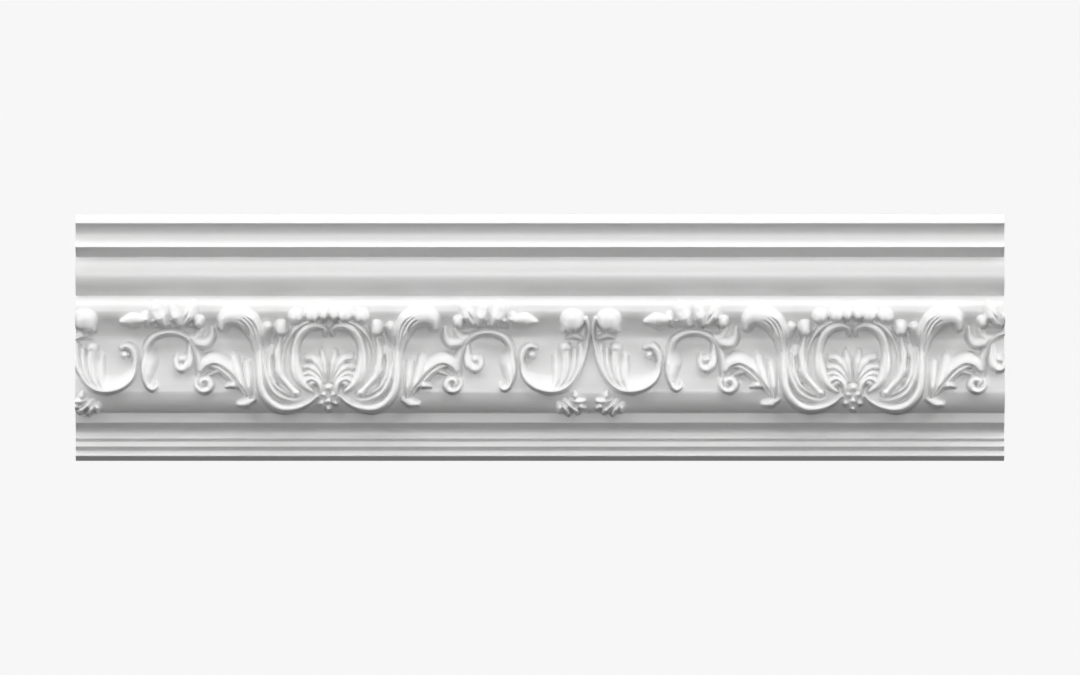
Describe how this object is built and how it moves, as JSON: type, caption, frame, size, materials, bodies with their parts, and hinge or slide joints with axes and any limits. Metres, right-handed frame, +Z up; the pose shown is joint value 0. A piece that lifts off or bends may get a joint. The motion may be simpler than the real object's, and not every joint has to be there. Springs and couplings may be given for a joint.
{
  "type": "cornice moulding length",
  "caption": "Cut length of cast cornice moulding: stepped members above and below a frieze of carved shell cartouches, leaves and scrolls.",
  "frame": {"origin": "middle of the strip that beds on the wall, halfway along the length", "axes": "+X along the run, +Y into the wall, +Z up to the ceiling"},
  "size_m": [0.532, 0.1, 0.1],
  "materials": {
    "cast_white": "satin"
  },
  "bodies": {
    "root": {"cornice_length": "cast_white"}
  },
  "joints": []
}
